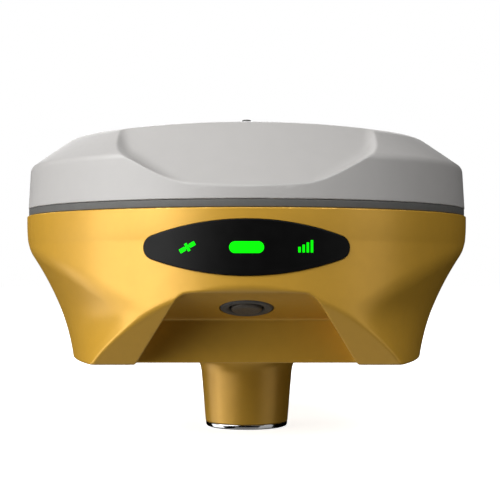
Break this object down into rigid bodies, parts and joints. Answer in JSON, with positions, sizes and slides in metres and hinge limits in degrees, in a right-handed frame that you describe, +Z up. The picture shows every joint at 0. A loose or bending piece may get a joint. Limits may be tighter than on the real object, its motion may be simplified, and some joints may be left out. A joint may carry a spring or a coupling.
{
  "type": "gnss receiver",
  "caption": "Round pole-top satellite positioning receiver: grey antenna cover, yellow body with status window, recessed power button, back battery door, threaded neck.",
  "frame": {"origin": "centre of the foot of the neck, where the receiver rests on its pole or stands", "axes": "+Z up along the neck and the pole, -Y the front with the status window, +X the right side seen from the front"},
  "size_m": [0.153, 0.153, 0.1082],
  "materials": {
    "housing_yellow": "satin metallic yellow paint",
    "cover_grey": "fine matt moulded plastic",
    "seal_rubber": "satin dark grey",
    "chrome_ring": "polished",
    "steel": "machined",
    "brass": "machined",
    "lens": "gloss",
    "light_green": "lit light guide",
    "button_rubber": "matt",
    "button_cap": "matt",
    "circuit_board": "solder mask",
    "shield_can": "tinned",
    "antenna_ceramic": "matt",
    "copper": "bare copper",
    "ground_metal": "passivated",
    "black_plastic": "moulded",
    "battery": "moulded",
    "cap_rubber": "matt",
    "lead": "extruded jacket",
    "ribbon": "polyimide film"
  },
  "bodies": {
    "receiver": {"lower_housing": "housing_yellow", "top_cover": "cover_grey", "seal_band": "seal_rubber", "centre_mark": "seal_rubber", "neck_ring": "chrome_ring", "threaded_insert": "steel", "display_window": "lens", "power_light": "light_green", "satellite_light": "light_green", "signal_lights": "light_green", "display_board": "circuit_board", "button_bezel": "button_rubber", "power_switch": "shield_can", "button_board": "circuit_board", "ground_plane": "ground_metal", "lower_antenna_substrate": "antenna_ceramic", "lower_antenna_patch": "copper", "upper_antenna_substrate": "antenna_ceramic", "upper_antenna_patch": "copper", "amplifier_shield": "shield_can", "main_board": "circuit_board", "gnss_module": "shield_can", "radio_module": "shield_can", "modem_module": "shield_can", "buzzer": "black_plastic", "board_screw_1": "steel", "board_screw_2": "steel", "board_screw_3": "steel", "board_screw_4": "steel", "housing_screw_1": "steel", "housing_screw_2": "steel", "housing_screw_3": "steel", "housing_screw_4": "steel", "battery_tray": "black_plastic", "battery_contacts": "brass", "battery_pack": "battery", "door_hinge_pin": "steel", "power_port": "steel", "power_port_pins": "black_plastic", "data_port": "steel", "data_port_pins": "black_plastic", "radio_connector": "brass", "radio_connector_core": "antenna_ceramic", "antenna_lead": "lead", "display_ribbon": "ribbon"},
    "power_button": {"power_button": "button_cap"},
    "battery_door": {"battery_door": "housing_yellow", "door_seal": "cap_rubber"},
    "door_release": {"door_release": "button_rubber"},
    "power_port_cap": {"power_port_cap": "cap_rubber"},
    "data_port_cap": {"data_port_cap": "cap_rubber"}
  },
  "joints": [
    {"name": "power_button_press", "type": "slide", "parent": "receiver", "child": "power_button", "axis": [0, 0.3176, 0.9482], "range_m": [0, 0.001], "stiffness_N_per_m": 900, "springref_m": -0.0005},
    {"name": "battery_door_hinge", "type": "hinge", "parent": "receiver", "child": "battery_door", "pos_m": [-0.0336, 0.06733, 0.062], "axis": [0, 0, 1], "range_deg": [0, 95]},
    {"name": "door_release_press", "type": "slide", "parent": "receiver", "child": "door_release", "axis": [-0.5033, -0.8641, 0], "range_m": [0, 0.0012], "stiffness_N_per_m": 800, "springref_m": -0.0005},
    {"name": "power_port_cap_hinge", "type": "hinge", "parent": "receiver", "child": "power_port_cap", "pos_m": [-0.017, 0.0499, 0.0379], "axis": [1, 0, 0], "range_deg": [0, 55]},
    {"name": "data_port_cap_hinge", "type": "hinge", "parent": "receiver", "child": "data_port_cap", "pos_m": [0.017, 0.0499, 0.0379], "axis": [1, 0, 0], "range_deg": [0, 55]}
  ]
}
